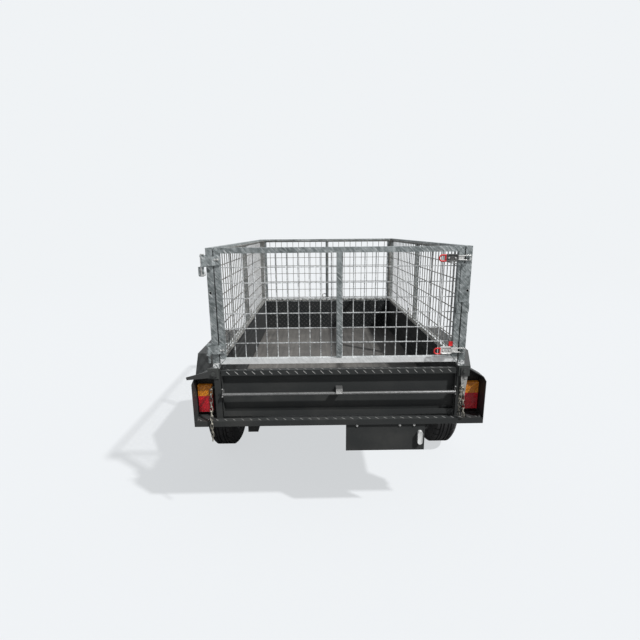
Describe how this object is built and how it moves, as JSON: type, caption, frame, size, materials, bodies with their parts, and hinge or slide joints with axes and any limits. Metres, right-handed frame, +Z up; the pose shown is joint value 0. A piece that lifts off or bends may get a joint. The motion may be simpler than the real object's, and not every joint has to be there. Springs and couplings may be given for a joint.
{
  "type": "utility trailer",
  "caption": "Single axle box trailer with a drop tailgate, a removable mesh cage with a rear gate, a drawbar with a ball coupling and a jockey wheel.",
  "frame": {"origin": "on the ground, at the middle of the trailer's length and width", "axes": "+Z up, +Y from the tailgate to the coupling, +X to the right when looking along +Y"},
  "size_m": [1.69, 3.0083, 1.415],
  "materials": {
    "dark_paint": "satin",
    "galvanised": "satin",
    "bright_steel": "satin",
    "black_plastic": "matte",
    "amber_lens": "gloss",
    "red_lens": "gloss",
    "red_grip": "gloss",
    "tyre": "matte",
    "solid_rubber": "matte",
    "silver_paint": "satin"
  },
  "bodies": {
    "trailer": {"tub_floor": "galvanised", "tub_front": "dark_paint", "tub_sides": "dark_paint", "side_ribs": "dark_paint", "corner_posts": "dark_paint", "rear_bumper": "dark_paint", "cross_members": "dark_paint", "chassis_rails": "dark_paint", "drawbar": "dark_paint", "axle": "dark_paint", "leaf_springs": "dark_paint", "spring_mounts": "dark_paint", "mudguards": "dark_paint", "lamp_housings": "dark_paint", "lamp_bases": "black_plastic", "lamp_lenses_amber": "amber_lens", "lamp_lenses_red": "red_lens", "latch_plates": "dark_paint", "tailgate_levers": "dark_paint", "tailgate_chains": "bright_steel", "cage_frames": "galvanised", "cage_meshes": "galvanised", "cage_fittings": "galvanised", "plate_bracket": "dark_paint", "plate_lamp": "black_plastic", "coupling": "bright_steel", "coupling_lever": "bright_steel", "jockey_bracket": "bright_steel"},
    "tailgate": {"tailgate_pan": "dark_paint", "tailgate_rod": "dark_paint"},
    "gate": {"gate_frame": "galvanised", "gate_mesh": "galvanised", "gate_straps": "galvanised", "gate_latch_bodies": "bright_steel", "gate_latch_handles": "red_grip"},
    "right_wheel": {"tyre_right": "tyre", "rim_right": "silver_paint", "hub_right": "bright_steel"},
    "left_wheel": {"tyre_left": "tyre", "rim_left": "silver_paint", "hub_left": "bright_steel"},
    "jockey_column": {"jockey_column": "bright_steel"},
    "jockey_leg": {"jockey_leg": "bright_steel"},
    "jockey_fork": {"jockey_fork": "bright_steel"},
    "jockey_wheel": {"jockey_wheel": "solid_rubber"}
  },
  "joints": [
    {"name": "tailgate_fold", "type": "hinge", "parent": "trailer", "child": "tailgate", "pos_m": [0, -1.43615, 0.615], "axis": [1, 0, 0], "range_deg": [0, 90]},
    {"name": "gate_swing", "type": "hinge", "parent": "trailer", "child": "gate", "pos_m": [-0.612, -1.46215, 1.1], "axis": [0, 0, -1], "range_deg": [0, 270]},
    {"name": "right_wheel_spin", "type": "hinge", "parent": "trailer", "child": "right_wheel", "pos_m": [0.737, -0.58015, 0.32], "axis": [1, 0, 0], "continuous": true},
    {"name": "left_wheel_spin", "type": "hinge", "parent": "trailer", "child": "left_wheel", "pos_m": [-0.737, -0.58015, 0.32], "axis": [1, 0, 0], "continuous": true},
    {"name": "jockey_clamp_slide", "type": "slide", "parent": "trailer", "child": "jockey_column", "axis": [0, 0, 1], "range_m": [0, 0.14]},
    {"name": "jockey_leg_slide", "type": "slide", "parent": "jockey_column", "child": "jockey_leg", "axis": [0, 0, 1], "range_m": [0, 0.12]},
    {"name": "jockey_swivel", "type": "hinge", "parent": "jockey_leg", "child": "jockey_fork", "pos_m": [0.13448, 1.15492, 0.17], "axis": [0, 0, 1], "continuous": true},
    {"name": "jockey_wheel_spin", "type": "hinge", "parent": "jockey_fork", "child": "jockey_wheel", "pos_m": [0.14419, 1.11818, 0.078], "axis": [0.9668, 0.2554, 0], "continuous": true}
  ]
}
